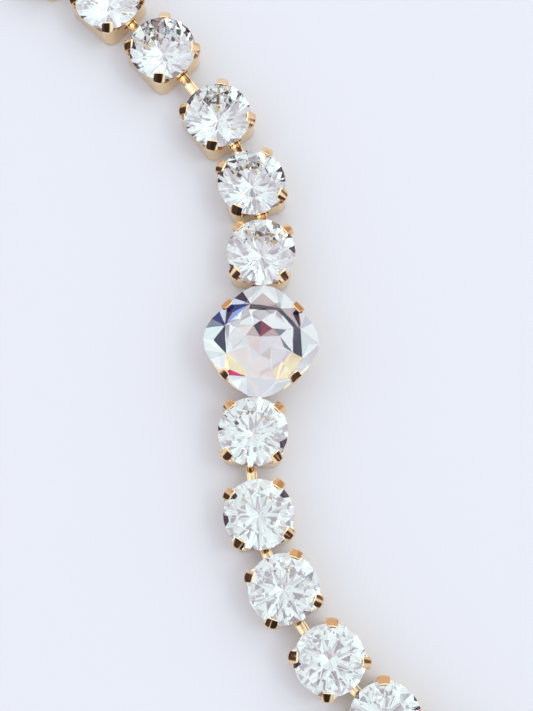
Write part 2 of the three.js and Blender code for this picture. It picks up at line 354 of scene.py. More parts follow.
def makeFoil(name, look):
    material, flow = newMaterial(name)
    cloud = noise(flow, look["clouds"], 2.0)
    silver = mixColours(flow, cloud, look["silver"], look["bloom"])
    # facetTint holds painted reflections: tones standing in for what the facets mirror, multiplied onto
    # the foil
    tint = flow.make("ShaderNodeVertexColor", {"layer_name": "facetTint"}, {}, "Color")
    reach = flow.make("ShaderNodeVertexColor", {"layer_name": "facetTint"}, {}, "Alpha")
    colour = mixColours(flow, reach > look["tintFrom"], silver, tint, "MULTIPLY")
    roughness = look["roughness"] + look["roughSpread"] * cloud
    finishMaterial(flow, {"Base Color": colour, "Metallic": 1.0, "Roughness": roughness})
    return material


settingGold = makeGold("settingGold", goldLook)
clearCrystal = makeGlass("clearCrystal", glassLook)
waterClear = makeGlass("waterClear", cushionGlassLook)
silverFoil = makeFoil("silverFoil", foilLook)
reflectionPaintedFoil = makeFoil("reflectionPaintedFoil", reflectionPaintedLook)
print("materials made")


# ---- mesh helpers

# A piece in a CAD node's place, from points in mm and lists of faces; the faces in one list have as
# many corners each. Tints are a colour for each corner of each face.
def makePiece(name, node, points, faceSets, materials, faceMaterial=None, smooth=True,
              tints=None):
    mesh = bpy.data.meshes.new(name)
    counts = np.concatenate([np.full(len(faces), faces.shape[1]) for faces in faceSets])
    corners = np.concatenate([faces.ravel() for faces in faceSets])
    mesh.vertices.add(len(points))
    mesh.vertices.foreach_set("co", (np.asarray(points) * mm).ravel())
    mesh.loops.add(len(corners))
    mesh.loops.foreach_set("vertex_index", corners.astype(np.int32))
    mesh.polygons.add(len(counts))
    mesh.polygons.foreach_set("loop_start", (np.cumsum(counts) - counts).astype(np.int32))
    mesh.polygons.foreach_set("loop_total", counts.astype(np.int32))
    mesh.polygons.foreach_set("use_smooth", np.full(len(counts), smooth))
    for material in materials:
        mesh.materials.append(material)
    if faceMaterial is not None:
        mesh.polygons.foreach_set("material_index", np.asarray(faceMaterial, np.int32))
    if tints is not None:
        layer = mesh.color_attributes.new("facetTint", "FLOAT_COLOR", "CORNER")
        layer.data.foreach_set("color", tints.ravel())
    mesh.update(calc_edges=True)
    mesh.validate()
    piece = bpy.data.objects.new(name, mesh)
    bpy.context.scene.collection.objects.link(piece)
    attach(piece, "root")
    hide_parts(node)
    return piece


# Points turned about Z by an angle in degrees, then moved to a place on the surface
def placed(points, at, turn):
    angle = math.radians(turn)
    cos, sin = math.cos(angle), math.sin(angle)
    x, y, z = np.asarray(points).T
    return np.stack([x * cos - y * sin + at[0], x * sin + y * cos + at[1], z], axis=1)


# Quads of a grid whose columns close round into tubes, and whose rows may close round too
def gridFaces(rows, columns, closeRows=False):
    row, column = np.meshgrid(np.arange(rows if closeRows else rows - 1), np.arange(columns),
                              indexing="ij")
    below, right = (row + 1) % rows, (column + 1) % columns
    return np.stack([row * columns + column, row * columns + right,
                     below * columns + right, below * columns + column], axis=-1).reshape(-1, 4)


# Flat faces over the first and the last row of a grid
def endFaces(rows, columns):
    return np.stack([np.arange(columns)[::-1], (rows - 1) * columns + np.arange(columns)])


# Middle of a CAD node's box, in mm
def nodeMiddle(node):
    low, high = np.array(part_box(node))
    return (low + high) / 2 / mm


# ---- crystals

# Shares are of the outline's own radius, heights are in mm above the base of the cup
roundStone = {
    "outline": ("round", 4.15, 4.15),
    "folds": 8,
    "tableShare": 0.58,
    "starShare": 0.78,
    "tableZ": 5.2,
    "girdleHighZ": 4.15,
    "girdleLowZ": 4.0,
    "pavilion": (0.235, 1.14),   # share and height where lower facets and mains meet
    "culetZ": 0.36,
    "paleSpread": (0.20, 0.25, 0.18),
    "mainSpread": 0.3,   # the mains' share of that spread
    # painted reflections on lower girdle facets: dark wedges on the ±X sides, warm gold on the -Y side
    "paintedDarkReflection": (0.10, 0.06, 0.09),
    "darkShare": 0.7,
    "darkWithin": 38,   # degrees from the row frame's X axis, either way
    "paintedGoldReflection": (0.45, 0.33, 0.33),
    "warmShare": 0.6,
    "warmWithin": 45,   # degrees from the row frame's -Y axis, either way
    "wedge": (0.15, 1.05),   # range of reach at a lower facet's girdle corners
}

cushionStone = {
    "outline": ("cushion", 6.0, 3.9),
    "folds": 8,
    "tableShare": 0.58,
    "starShare": 0.79,
    "tableZ": 6.0,
    "girdleHighZ": 5.2,
    "girdleLowZ": 4.9,
}

# The cushion's foiled back is a shallow bowl of facets between rings of corners, each painted in a
# tone that stands in for a reflection: pale, mauve and straw patches, dark navy, ink and plum wedges
# and a crimson spark of fire are painted reflections. A ring is (share of the outline, offset in
# steps, shift in mm). Each band of facets has eight tones, anticlockwise from the crystal's own X
# axis, which points up and left.
cushionBack = {
    "depth": 0.08,        # mm from the girdle to the middle
    "unevenness": 0.035,  # mm, how far corners are off the bowl
    "stray": 0.22,        # mm, how far corners are off their even places
    "seed": 5,
    "rings": [(0.0, 0.0, (0.3, -0.4)), (0.3, 0.0, (0.3, -0.4)), (0.46, 0.5, (0.2, -0.3)),
              (0.62, 0.5, (0.1, -0.1)), (0.73, 0.5, (-0.35, -0.16)), (0.83, 0.0, (0.0, 0.0))],
    "palette": {
        "frost": (0.84, 0.87, 0.88), "pearl": (0.74, 0.72, 0.77), "shell": (0.82, 0.75, 0.73),
        "lilac": (0.60, 0.60, 0.72), "straw": (0.90, 0.78, 0.52), "taupe": (0.55, 0.45, 0.45),
        "azure": (0.25, 0.30, 0.65), "navy": (0.02, 0.03, 0.14), "slate": (0.20, 0.21, 0.28),
        "ink": (0.05, 0.05, 0.09), "plum": (0.04, 0.015, 0.05), "crimson": (0.60, 0.03, 0.16),
        "wine": (0.24, 0.02, 0.07), "mist": (0.70, 0.75, 0.76),
    },
    "tones": {
        "core": "taupe shell shell pearl pearl taupe wine plum",
        "starBase": "shell mist pearl shell frost slate frost frost",
        "starNear": "frost pearl shell pearl frost frost frost frost",
        "starFar": "frost frost pearl shell slate frost frost frost",
        "outerStar": "frost frost shell shell pearl frost frost frost",
        "sliver": "mist straw shell straw ink ink plum frost",
        "wedge": "navy mist frost frost frost frost frost frost",
        "farWedge": "slate frost frost frost mist lilac mist plum",
        "nearMain": "mist frost pearl frost pearl shell frost lilac",
        "mainBase": "ink straw pearl straw mist taupe taupe azure",
        "mainNear": "mist straw shell straw frost plum frost navy",
        "mainFar": "frost crimson pearl shell pearl taupe frost plum",
        "farMain": "frost mist frost frost frost frost mist lilac",
    },
}


# Radius of the girdle at an angle: constant, or out to a square's flat or its rounded corner
def outlineRadius(outline, angle):
    kind, half, corner = outline
    if kind == "round":
        return np.full_like(angle, half)
    folded = np.abs((angle + math.pi / 4) % (math.pi / 2) - math.pi / 4)
    centre = half - corner
    along = centre * (np.cos(folded) + np.sin(folded))
    onCorner = along + np.sqrt(np.maximum(along ** 2 - 2 * centre ** 2 + corner ** 2, 0))
    return np.where(np.tan(folded) * half < centre, half / np.cos(folded), onCorner)


# A ring of count points at a share of the outline and one height, begun at an offset in steps
def stoneRing(outline, count, share, z, offset=0.0):
    angle = (np.arange(count) + offset) * 2 * math.pi / count
    radius = outlineRadius(outline, angle) * share
    return np.stack([radius * np.cos(angle), radius * np.sin(angle), np.full(count, z)], axis=1)


# Heights that put the middle girdle points onto the planes of the facets beside them: each plane
# goes through an apex and the girdle points on either side of the middle one
def scalloped(ring, apex):
    folds = len(apex)
    k = 4 * np.arange(folds)
    for start in (0, 2):
        first, middle, last = ring[k + start], ring[k + start + 1], ring[(k + start + 2) % len(ring)]
        normal = np.cross(first - apex, last - apex)
        gap = middle - apex
        fall = (normal[:, :2] * gap[:, :2]).sum(axis=1) / normal[:, 2]
        ring[k + start + 1, 2] = apex[:, 2] - fall
    return ring


# Crown: table, star, kite and upper girdle facets, and the thin girdle band below them, which is
# returned by itself. Star corners lie on the kites' planes, which slope from the table's edge to
# the girdle.
def crown(shape):
    outline, folds = shape["outline"], shape["folds"]
    table = stoneRing(outline, folds, shape["tableShare"], shape["tableZ"])
    high = stoneRing(outline, 4 * folds, 1.0, shape["girdleHighZ"])
    low = stoneRing(outline, 4 * folds, 1.0, shape["girdleLowZ"])
    star = stoneRing(outline, folds, shape["starShare"], 0.0, 0.5)
    inner = np.linalg.norm(table[:, :2], axis=1).mean()
    outer = np.linalg.norm(high[::4, :2], axis=1).mean()
    starReach = np.linalg.norm(star[:, :2], axis=1) * math.cos(math.pi / folds)
    drop = shape["tableZ"] - shape["girdleHighZ"]
    star[:, 2] = shape["tableZ"] - (starReach - inner) * drop / (outer - inner)
    high = scalloped(high, star)

    k = np.arange(folds)
    starAt, highAt, lowAt = folds, 2 * folds, 6 * folds
    stars = np.stack([(k + 1) % folds, k, starAt + k], axis=1)
    kites = np.stack([k, starAt + (k - 1) % folds, highAt + 4 * k, starAt + k], axis=1)
    uppers = [np.stack([starAt + k, highAt + 4 * k + half, highAt + 4 * k + half + 1,
                        highAt + (4 * k + half + 2) % (4 * folds)], axis=1) for half in (0, 2)]
    girdle = np.arange(4 * folds)
    after = (girdle + 1) % (4 * folds)
    band = np.stack([lowAt + girdle, lowAt + after, highAt + after, highAt + girdle], axis=1)
    points = np.concatenate([table, star, high, low])
    return points, [k[None, :], stars, np.concatenate([kites, *uppers])], band


# Back of a round stone: lower girdle facets, and mains that meet at the culet. Low are the lower
# girdle points, which come just before start in the list of points.
def roundBack(shape, low, start):
    folds = shape["folds"]
    share, z = shape["pavilion"]
    ring = stoneRing(shape["outline"], folds, share, z, 0.5)
    low = scalloped(low, ring)
    k = np.arange(folds)
    lowAt, culetAt = start - 4 * folds, start + folds
    lowers = [np.stack([start + k, lowAt + (4 * k + half + 2) % (4 * folds),
                        lowAt + 4 * k + half + 1, lowAt + 4 * k + half], axis=1) for half in (0, 2)]
    mains = np.stack([np.full(folds, culetAt), start + k, lowAt + 4 * k, start + (k - 1) % folds],
                     axis=1)
    culet = [[0.0, 0.0, shape["culetZ"]]]
    return low, np.concatenate([ring, culet]), np.concatenate([*lowers, mains])


# Tone of each back facet: 1 - spread times a random share, less of it on the mains, and some of the
# lower girdle facets that lie towards +X or -X get a painted dark reflection, and some towards -Y a
# painted warm reflection of the gold, near the girdle. The fourth value is how far a corner reaches
# into the toned part; the shader tones what is past a threshold.
def facetTones(shape, turn, seed):
    folds = shape["folds"]
    draw = np.random.default_rng(seed)
    tones = np.ones((3 * folds, 4, 4))
    spread = draw.random((3 * folds, 1)) * shape["paleSpread"]
    spread[2 * folds:] *= shape["mainSpread"]
    tones[:, :, :3] -= spread[:, None, :]
    k = np.arange(folds)
    steps = np.concatenate([4 * k + 1, 4 * k + 3])
    direction = np.radians(turn) + steps * 2 * math.pi / (4 * folds)
    sideways = np.abs(np.cos(direction)) > math.cos(math.radians(shape["darkWithin"]))
    near = -np.sin(direction) > math.cos(math.radians(shape["warmWithin"]))
    lot = draw.random(2 * folds)
    tones[np.flatnonzero(near & (lot < shape["warmShare"])), :, :3] = shape["paintedGoldReflection"]
    tones[np.flatnonzero(sideways & (lot < shape["darkShare"])), :, :3] = shape["paintedDarkReflection"]
    tones[:2 * folds, 0, 3] = 0
    tones[:2 * folds, 1:, 3] = draw.uniform(*shape["wedge"], (2 * folds, 3))
    return tones


# A stone with the clear faces of its crown and the foiled faces behind them. Tones, which carry the
# painted reflections on the foil, are for the corners of the last faces; the corners before those stay
# white.
def makeStone(node, points, clear, foiled, tones, materials):
    faceSets = [*clear, *foiled]
    material = np.repeat([0, 1], [sum(map(len, clear)), sum(map(len, foiled))])
    tints = np.ones((sum(faces.size for faces in faceSets), 4))
    tints[-len(tones):] = tones
    makePiece(node.replace("crystal", "stone"), node, points, faceSets, materials,
              material, smooth=False, tints=tints)


def makeRoundStone(node, shape, at, turn, seed):
    points, crownFaces, band = crown(shape)
    girdlePoints = 4 * shape["folds"]
    low, lower, back = roundBack(shape, points[-girdlePoints:], len(points))
    points = placed(np.concatenate([points[:-girdlePoints], low, lower]), at, turn)
    tones = facetTones(shape, turn, seed).reshape(-1, 4)
    makeStone(node, points, crownFaces, [band, back], tones, [clearCrystal, silverFoil])


# Back of the cushion: corners sink below the girdle by depth times (1 - share squared) and stray
# a little, and the bands of facets join each ring to the one outside it
def ringedBack(shape, back, start):
    folds = shape["folds"]
    draw = np.random.default_rng(back["seed"])
    rings = []
    for share, offset, shift in back["rings"]:
        z = shape["girdleLowZ"] - back["depth"] * (1 - share ** 2)
        rings.append(stoneRing(shape["outline"], folds, share, z, offset) + [*shift, 0])
    corners = np.concatenate([rings[0][:1], *rings[1:]])
    reach = [back["stray"], back["stray"], back["unevenness"]]
    corners += draw.uniform(-1, 1, corners.shape) * reach

    k = np.arange(folds)
    after = (k + 1) % folds
    inner, star, outer, edge, main = (start + 1 + folds * ring for ring in range(5))
    girdle = [start - 4 * folds + (4 * k + part) % (4 * folds) for part in range(6)]
    faces = {
        "core": [np.full(folds, start), inner + after, inner + k],
        "starBase": [inner + after, star + k, inner + k],
        "starNear": [star + k, outer + k, inner + k],
        "starFar": [inner + after, outer + k, star + k],
        "outerStar": [outer + k, outer + (k - 1) % folds, inner + k],
        "wedge": [girdle[2], girdle[1], edge + k],
        "farWedge": [girdle[3], girdle[2], edge + k],
        "nearMain": [girdle[4], girdle[3], edge + k],
        "mainBase": [edge + after, main + after, edge + k],
        "mainNear": [main + after, girdle[4], edge + k],
        "mainFar": [edge + after, girdle[4], main + after],
        "farMain": [girdle[5], girdle[4], edge + after],
        "sliver": [outer + after, edge + after, edge + k, outer + k],
    }
    bands = {name: np.stack(band, axis=1) for name, band in faces.items()}
    tones = []
    for name, band in bands.items():
        each = [(*back["palette"][tone], 1.0) for tone in back["tones"][name].split()]
        tones.append(np.repeat(each, band.shape[1], axis=0))
    *triangles, slivers = bands.values()
    return corners, [np.concatenate(triangles), slivers], np.concatenate(tones)


def makeCushionStone(node, shape, back, at, turn):
    points, crownFaces, band = crown(shape)
    corners, backFaces, tones = ringedBack(shape, back, len(points))
    points = placed(np.concatenate([points, corners]), at, turn)
    makeStone(node, points, crownFaces, [band, *backFaces], tones, [waterClear, reflectionPaintedFoil])


# ---- cups

# Lengths in mm, angles in degrees. The wall is a rounded square, given as (half, corner radius) at
# its foot, base and rim; the claw's route is drawn through the rim, bend, knee and tip as (reach,
# height). A slot is (half width, low, high).
roundCup = {
    "clawsOn": "corner",
    "foot": (3.3, 1.5), "base": (3.62, 1.4), "rim": (3.66, 1.6),
    "baseZ": 0.3, "rimZ": 3.4, "dipZ": 3.2, "dipRadius": 12.0,
    "sheet": 0.3,
    "clawHalf": 0.7,
    "claw": [(4.51, 3.4), (4.95, 4.3), (3.76, 5.17), (3.6, 5.02)],
    "clawBends": (0.36, 0.14),
    "clawArch": 0.03,
    "tipCut": 0.3,
    "tipNarrow": 0.14,
    "tipRound": 0.96,   # 1 ends the tip in a full half ellipse
    "tipFlat": 0.6,     # share of the rim's own curve that is lost by the tip
    "slot": (0.9, 1.68, 2.14),
    "bevel": 0.1,
}

cushionCup = {
    "clawsOn": "flat",
    "foot": (4.7, 3.4), "base": (5.1, 3.6), "rim": (6.1, 4.9),
    "baseZ": 0.3, "rimZ": 4.4, "dipZ": 4.15, "dipRadius": 14.0,
    "sheet": 0.3,
    "clawHalf": 0.66,
    "claw": [(6.1, 4.4), (6.62, 5.35), (5.62, 6.0), (5.48, 5.86)],
    "clawBends": (0.4, 0.1),
    "clawArch": 0.035,
    "tipCut": 0.34,
    "tipNarrow": 0.14,
    "tipRound": 0.96,
    "tipFlat": 0.6,
    "slot": (0.9, 1.68, 2.14),
    "bevel": 0.1,
}

# How a cup's grid is spread: columns across the claw and from its edge to the slot's, rows out
# over the floor, up the foot's bend and at one height below the slots, and rows along the claw.
# Points are one where they lie closer than mergeWithin.
clawShares = np.array([-1, -0.72, -0.36, 0, 0.36, 0.72, 1])
gapShares = np.array([0.14, 0.34, 0.56, 0.78])
floorShares = (0.0, 0.45, 0.82, 0.97)
footAngles = (20, 45, 70, 90)
lowRow = 0.9
clawBendSteps = 9
clawFlatShares = np.array([0.3, 0.6])
mergeWithin = 1e-4


# Reach of a rounded square's quarter at a sideways distance from the claw's direction, which
# points at the corner or at the middle of a flat side
def quarterReach(clawsOn, half, corner, aside):
    aside = np.abs(aside)
    straight = half - corner
    if clawsOn == "corner":
        onArc = straight * math.sqrt(2) + np.sqrt(np.maximum(corner ** 2 - aside ** 2, 0))
        return np.where(aside <= corner / math.sqrt(2), onArc, half * math.sqrt(2) - aside)
    past = np.maximum(aside - straight, 0)
    return straight + np.sqrt(np.maximum(corner ** 2 - past ** 2, 0))


# Sideways distance at which a quarter of the rounded square ends, where its reach equals it
def quarterEnd(clawsOn, half, corner):
    if clawsOn == "corner":
        return half / math.sqrt(2)
    return half - corner + corner / math.sqrt(2)


# Distance of outline points from the axis of the nearest slot
def slotDistance(reach, aside):
    return (reach - np.abs(aside)) / math.sqrt(2)


# A route through corner points, each inner corner rounded by a circle of its own radius
def roundedRoute(points, radii, arcSteps):
    points = np.array(points, float)
    parts = [points[:1]]
    for before, corner, after, radius in zip(points[:-2], points[1:-1], points[2:], radii):
        back = (before - corner) / np.linalg.norm(before - corner)
        on = (after - corner) / np.linalg.norm(after - corner)
        half = math.acos(back @ on) / 2
        centre = corner + (back + on) / np.linalg.norm(back + on) * radius / math.sin(half)
        first = corner + back * radius / math.tan(half) - centre
        last = corner + on * radius / math.tan(half) - centre
        spread = math.pi - 2 * half
        sweep = np.linspace(0, 1, arcSteps)[:, None]
        parts.append(centre + (np.sin((1 - sweep) * spread) * first
                               + np.sin(sweep * spread) * last) / math.sin(spread))
    parts.append(points[-1:])
    return np.concatenate(parts)


# Distance along a route at each of its points
def routeLength(route):
    return np.concatenate([[0], np.cumsum(np.linalg.norm(np.diff(route, axis=0), axis=1))])


# Columns of a cup's quarter: -1 to 1 across its claw, and on to 2 at the quarter's end, on either
# side. Also gives the share of the way from claw to end at which the slot begins.
def cupColumns(shape):
    claw, kind = shape["clawHalf"], shape["clawsOn"]
    rimEnd = quarterEnd(kind, *shape["rim"])
    # the slot's edge is looked up on a finely divided rim
    fine = np.linspace(claw, rimEnd, 200)
    distance = slotDistance(quarterReach(kind, *shape["rim"], fine), fine)
    slotAside = np.interp(-shape["slot"][0], -distance, fine)
    slotShare = (slotAside - claw) / (rimEnd - claw)
    shares = np.concatenate([gapShares * slotShare, [slotShare, (1 + slotShare) / 2, 1]])
    return np.sort(np.concatenate([clawShares, 1 + shares, -1 - shares[:-1]])), slotShare


# Reach and sideways place of the columns on a rounded square
def columnsOn(shape, columns, half, corner):
    claw, kind = shape["clawHalf"], shape["clawsOn"]
    beside = claw + (np.abs(columns) - 1) * (quarterEnd(kind, half, corner) - claw)
    aside = np.where(np.abs(columns) <= 1, columns * claw, np.sign(columns) * beside)
    return quarterReach(kind, half, corner, aside), aside


# Rows of (reach, aside, height) out over the floor, round the foot's bend and up the wall to the
# rim, which dips along a circle between the claws
def wallRows(shape, columns):
    foot, base, rim = (np.array(shape[part]) for part in ("foot", "base", "rim"))
    reach, aside = columnsOn(shape, columns, *foot)
    rows = [(reach * share, aside * share, np.zeros_like(reach)) for share in floorShares]
    for angle in np.radians(footAngles):
        reach, aside = columnsOn(shape, columns, *(foot + (base - foot) * math.sin(angle)))
        rows.append((reach, aside, np.full_like(reach, shape["baseZ"] * (1 - math.cos(angle)))))
    fromMiddle = slotDistance(*columnsOn(shape, columns, *rim))
    dip = shape["dipZ"] + shape["dipRadius"] - np.sqrt(shape["dipRadius"] ** 2 - fromMiddle ** 2)
    top = np.minimum(dip, shape["rimZ"])
    slotLow, slotHigh = shape["slot"][1:]
    levels = [np.full_like(top, level) for level in (lowRow, slotLow, slotHigh)]
    levels += [slotHigh + (top - slotHigh) * share for share in (1 / 3, 2 / 3, 1)]
    for z in levels:
        lift = (z - shape["baseZ"]) / (shape["rimZ"] - shape["baseZ"])
        half, corner = base[:, None] + (rim - base)[:, None] * lift
        rows.append((*columnsOn(shape, columns, half, corner), z))
    return rows


# Rows on along the claw: each column carries the same route from its own place on the rim
def clawRows(shape, columns, rimReach, rimAside):
    route = roundedRoute(shape["claw"], shape["clawBends"], clawBendSteps)
    along = routeLength(route)
    bend, rest = along[1:clawBendSteps + 1], along[clawBendSteps + 1:]
    flatFrom, length = bend[-1], along[-1]
    steps = np.concatenate([bend, flatFrom + (rest[0] - flatFrom) * clawFlatShares, rest])
    slope = np.gradient(route, along, axis=0)
    slope /= np.linalg.norm(slope, axis=1)[:, None]
    across = np.clip(np.abs(columns), 0, 1)
    tipCurve = shape["tipCut"] * (1 - np.sqrt(1 - shape["tipRound"] * across ** 2))
    middle = rimReach[np.argmin(np.abs(columns))]
    rows = []
    for travelled in steps:
        flat = max(0.0, (travelled - flatFrom) / (length - flatFrom))
        rise = min(1.0, travelled / flatFrom)
        where = travelled - tipCurve * flat
        # the arch drops square to the route, towards the crystal
        arch = -shape["clawArch"] * across ** 2 * rise
        outward = np.interp(where, along, route[:, 0]) + arch * np.interp(where, along, slope[:, 1])
        z = np.interp(where, along, route[:, 1]) - arch * np.interp(where, along, slope[:, 0])
        rimCurve = (rimReach - middle) * (1 - shape["tipFlat"] * flat)
        width = 1 - shape["tipNarrow"] * flat ** 3
        rows.append((middle + rimCurve + outward - route[0, 0], rimAside * width, z))
    return rows


# A cup's outer skin: a grid of the rows, with its four quarters side by side. The column at a
# quarter's end is left out, so that the strip of quads there spans from one quarter to the next.
# Quads past the rim are kept on the claws only, and those in the slots not at all.
def cupSkin(shape):
    columns, slotShare = cupColumns(shape)
    wall = wallRows(shape, columns)
    rows = wall + clawRows(shape, columns, *wall[-1][:2])
    reach, aside, z = (np.array(values)[:, :-1] for values in zip(*rows))
    spin = np.radians([45, 135, 225, 315])[:, None, None]
    x = reach * np.cos(spin) - aside * np.sin(spin)
    y = reach * np.sin(spin) + aside * np.cos(spin)
    grid = np.stack(np.broadcast_arrays(x, y, z), axis=-1).transpose(1, 0, 2, 3).reshape(-1, 3)

    strips = len(columns) - 1
    quads = gridFaces(len(rows), 4 * strips)
    row, column = np.divmod(np.arange(len(quads)), 4 * strips)
    quarter, strip = np.divmod(column, strips)
    onClaw = np.abs(columns) <= 1
    isClaw = (onClaw[:-1] & onClaw[1:])[strip]
    pastSlotEdge = np.abs(columns) >= 1 + slotShare
    # slots lie on the quarters' shared ends at 0 and 180 degrees
    before = (columns[:-1] + columns[1:] < 0)[strip]
    atSlot = (pastSlotEdge[:-1] & pastSlotEdge[1:])[strip] & (before == (quarter % 2 == 0))
    slotRow = len(floorShares) + len(footAngles) + 1
    keep = ((row < len(wall) - 1) | isClaw) & ~(atSlot & (row == slotRow))
    return grid, quads[keep]


# The columns' doubled points at the floor's middle are merged, then the sheet gets its thickness
def finishSheet(piece, thickness, bevel):
    work = bmesh.new()
    work.from_mesh(piece.data)
    bmesh.ops.remove_doubles(work, verts=work.verts, dist=mergeWithin * mm)
    loose = [v for v in work.verts if not v.link_faces]
    bmesh.ops.delete(work, geom=loose, context="VERTS")
    work.to_mesh(piece.data)
    work.free()
    solid = piece.modifiers.new("sheetThickness", "SOLIDIFY")
    solid.thickness = thickness * mm
    solid.offset = -1.0
    solid.use_even_offset = True
    edge = piece.modifiers.new("softEdge", "BEVEL")
    edge.width = bevel * mm
    edge.segments = 3
    edge.limit_method = "ANGLE"
    edge.angle_limit = math.radians(50)
    edge.harden_normals = True


def makeCup(node, shape, at, turn):
    points, quads = cupSkin(shape)
    piece = makePiece(node.replace("setting", "cup"), node, placed(points, at, turn),
                      [quads], [settingGold])
    finishSheet(piece, shape["sheet"], shape["bevel"])


# ---- where the cups lie: the direction of each cup's slots, in degrees

cupTurns = {
    "left": [86, 109, 127, 131.5, 137, 147, 154],
    "right": [267, 281.5, 295.5, 311, 317, 321, 323],
}
centreTurn = 87.5
stoneStep = 17   # degrees from one stone's turn in its cup to the next one's
lastSeed = {"left": 0, "right": 10}   # the seed before each arm's first stone

for side, turns in cupTurns.items():
    for number, turn in enumerate(turns, 1):
        at = nodeMiddle(f"setting_{side}_{number}")
        makeRoundStone(f"crystal_{side}_{number}", roundStone, at, turn + number * stoneStep,
                       lastSeed[side] + number)
        makeCup(f"setting_{side}_{number}", roundCup, at, turn)
centre = nodeMiddle("setting_centre")
makeCushionStone("crystal_centre", cushionStone, cushionBack, centre, centreTurn + 45)
makeCup("setting_centre", cushionCup, centre, centreTurn)
print("stones and cups made")


# ---- links, rings and clasp

stripLink = {
    "length": 5.0,      # mm
    "width": 1.3,
    "thick": 0.3,
    "lowZ": 1.75,
    "hookDrop": 0.07,
    "bend": 0.16,
    "rail": 0.24,       # width of the raised edge on each side
    "railFoot": 0.03,   # sideways width of the slope inside it
    "recess": 0.09,     # how far the middle lies below the raised edges
    "underCut": 0.05,   # size of the flat cut along each lower edge
}

endLink = {
    "from": 3.05,       # mm from the last cup's axis
    "eyeAt": 6.6,
    "eyeRadius": 1.8,
    "eyeHole": 1.05,
    "eyeThick": 0.27,
    "eyeSquareness": 5.0,
    "barTo": 5.35,
    "voxel": 0.045,
}

# Wire is the wire's radius in mm; the seam is either cut or swells by a share at its solder
jumpRing = {"radius": 2.1, "wire": 0.42, "lean": 60, "seamAt": -70, "cut": 0.06, "swell": 0.0}
catchRing = {"radius": 2.6, "wire": 0.45, "lean": 50, "seamAt": -70, "cut": 0.0, "swell": 0.05}
swellHalf = 0.16   # radians round the ring either side of the seam

claspShape = {
    "thick": 2.4,
    "bodyAt": (7.4, 0.0), "bodyHalf": (4.6, 3.2),
    "holeAt": (7.9, -0.35), "holeHalf": (2.7, 1.35),
    "squareness": 3.2,
    "gates": (0.62, 2.28),   # where the seams of the gate lie, radians round the body
    "gateDepth": 0.16, "gateWidth": 0.035,
    "eyeRadius": 1.9, "eyeHole": 1.15, "eyeThick": 0.6, "eyeSquareness": 3.0, "eyeZ": 1.4,
    "neckFrom": 1.35, "neckTo": 3.9,
    "neckHalf": [(0.62, 0.34), (0.8, 0.62), (1.15, 0.85)],   # half width, half height along it
    "leverAt": (5.8, 3.05), "leverHalf": (0.62, 0.85, 0.6), "leverSquareness": 3.0,
    "voxel": 0.085,
}


# Strip's cross-section (across, up from mid-thickness), anticlockwise: a flat underside, and a
# half-round rail along each side of a recessed middle
def stripProfile(shape):
    half, high, rail = shape["width"] / 2, shape["thick"] / 2, shape["rail"] / 2
    turn = np.radians(np.arange(0, 180, 30))
    right = np.stack([half - rail + rail * np.cos(turn), high - rail + rail * np.sin(turn)], axis=1)
    floor = np.array([[half - 2 * rail - shape["railFoot"], high - shape["recess"]]])
    under = np.array([[half - shape["underCut"], -high], [half, -high + shape["underCut"]]])
    oneSide = np.concatenate([under, right, floor])
    return np.concatenate([oneSide, oneSide[::-1] * [-1, 1]])


# Points, sides and flat ends of a tube, from its coordinates by row and column
def tube(x, y, z):
    points = np.stack(np.broadcast_arrays(x, y, z), axis=-1)
    rows, columns = points.shape[:2]
    return points.reshape(-1, 3), gridFaces(rows, columns), endFaces(rows, columns)


# A cross-section carried along a route in the X-Z plane: each point is the route's, plus its
# height times the route's normal; across is Y. Both ends are closed flat.
def carried(profile, route):
    along = routeLength(route)
    slope = np.gradient(route, along, axis=0)
    slope /= np.linalg.norm(slope, axis=1)[:, None]
    across, up = profile.T
    return tube(route[:, :1] - up * slope[:, 1:], across, route[:, 1:] + up * slope[:, :1])


bendSteps = 5   # points on each bend of a link


# A strip from one hook to the other: down, along and down again, with rounded bends
def linkRoute(shape, start, end):
    middle = shape["lowZ"] + shape["thick"] / 2
    low = shape["lowZ"] - shape["hookDrop"]
    inset = shape["thick"] / 2
    corners = [(start + inset, low), (start + inset, middle), (end - inset, middle), (end - inset, low)]
    return roundedRoute(corners, (shape["bend"], shape["bend"]), bendSteps)


sharpFrom = {"strip": 38, "ring": 50}   # degrees between faces


def crisp(piece, degrees):
    piece.data.set_sharp_from_angle(angle=math.radians(degrees))


def makeFitting(node, kind, points, faceSets):
    return makePiece(f"{node}_{kind}", node, points, faceSets, [settingGold])


def makeLink(node, shape, way):
    half = shape["length"] / 2
    points, sides, ends = carried(stripProfile(shape), linkRoute(shape, -half, half))
    piece = makeFitting(node, "strip", placed(points, nodeMiddle(node), way), [sides, ends])
    crisp(piece, sharpFrom["strip"])


# A sine or cosine made squarer: its size to the power 2 / squareness, with its own sign
def squared(value, squareness):
    return np.sign(value) * np.abs(value) ** (2 / squareness)


# Ring surface: a closed loop of oval cross-sections. At angle u the section is centred at
# (middle(u)), reaches half(u) outward and high(u) up, and follows a superellipse in angle v, which
# runs downwards so that the faces point out.
def ovalRing(middle, half, high, outward, squareness, sections):
    v = -np.arange(sections) * 2 * math.pi / sections
    out, up = squared(np.cos(v), squareness), squared(np.sin(v), squareness)
    xy = middle[:, None, :] + half[:, None, None] * out[None, :, None] * outward[:, None, :]
    z = high[:, None] * up[None, :]
    return np.concatenate([xy, z[..., None]], axis=-1).reshape(-1, 3)


def circleAt(angle):
    return np.stack([np.cos(angle), np.sin(angle)], axis=1)


